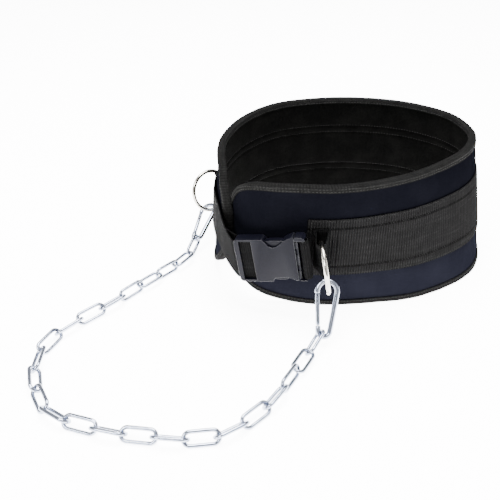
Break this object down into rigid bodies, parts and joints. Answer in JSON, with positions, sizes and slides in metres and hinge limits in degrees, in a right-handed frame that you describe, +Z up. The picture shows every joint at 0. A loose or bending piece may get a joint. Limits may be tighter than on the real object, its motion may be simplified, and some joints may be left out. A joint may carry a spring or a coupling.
{
  "type": "dip belt",
  "caption": "Padded waist belt with webbing straps, a side release buckle, a steel ring on each side and a chain clipped between the rings by snap hooks; it stands on its rim.",
  "frame": {"origin": "middle of the bounding box, on the floor that the belt's rim and the chain stand on", "axes": "+Z up along the belt's height, +X to the wearer's left as seen from the front, -Y to the front where the buckle is"},
  "size_m": [0.553, 0.5022, 0.16],
  "materials": {
    "neoprene": "cloth faced foam, dark navy, matt",
    "binding_tape": "woven tape, charcoal",
    "webbing": "ribbed woven webbing, charcoal",
    "buckle_plastic": "satin moulded plastic",
    "polished_nickel": "polished nickel plate",
    "bright_zinc": "bright zinc plate"
  },
  "bodies": {
    "belt": {"belt_panel": "neoprene", "edge_binding": "binding_tape", "waist_webbing": "webbing", "buckle_socket": "buckle_plastic", "buckle_plug": "buckle_plastic", "strap_left": "webbing", "strap_right": "webbing", "ring_right": "polished_nickel", "ring_left": "polished_nickel", "ring_loop_right": "webbing", "ring_loop_left": "webbing", "carabiner_left": "bright_zinc", "carabiner_right": "bright_zinc", "link_01": "bright_zinc", "link_02": "bright_zinc", "link_03": "bright_zinc", "link_04": "bright_zinc", "link_05": "bright_zinc", "link_06": "bright_zinc", "link_07": "bright_zinc", "link_08": "bright_zinc", "link_09": "bright_zinc", "link_10": "bright_zinc", "link_11": "bright_zinc", "link_12": "bright_zinc", "link_13": "bright_zinc", "link_14": "bright_zinc", "link_15": "bright_zinc", "link_16": "bright_zinc", "link_17": "bright_zinc", "link_18": "bright_zinc", "link_19": "bright_zinc", "link_20": "bright_zinc", "link_21": "bright_zinc", "link_22": "bright_zinc", "link_23": "bright_zinc", "link_24": "bright_zinc"},
    "gate_left": {"gate_left": "bright_zinc"},
    "gate_right": {"gate_right": "bright_zinc"}
  },
  "joints": [
    {"name": "gate_left_swing", "type": "hinge", "parent": "belt", "child": "gate_left", "pos_m": [-0.11893, 0.09941, 0.01957], "axis": [0.4046, 0.239, -0.8827], "range_deg": [0, 16], "stiffness_Nm_per_rad": 0.03, "springref_deg": -28.65},
    {"name": "gate_right_swing", "type": "hinge", "parent": "belt", "child": "gate_right", "pos_m": [0.03235, -0.10073, 0.02346], "axis": [0.033, 0.8415, -0.5393], "range_deg": [0, 16], "stiffness_Nm_per_rad": 0.03, "springref_deg": -28.65}
  ]
}
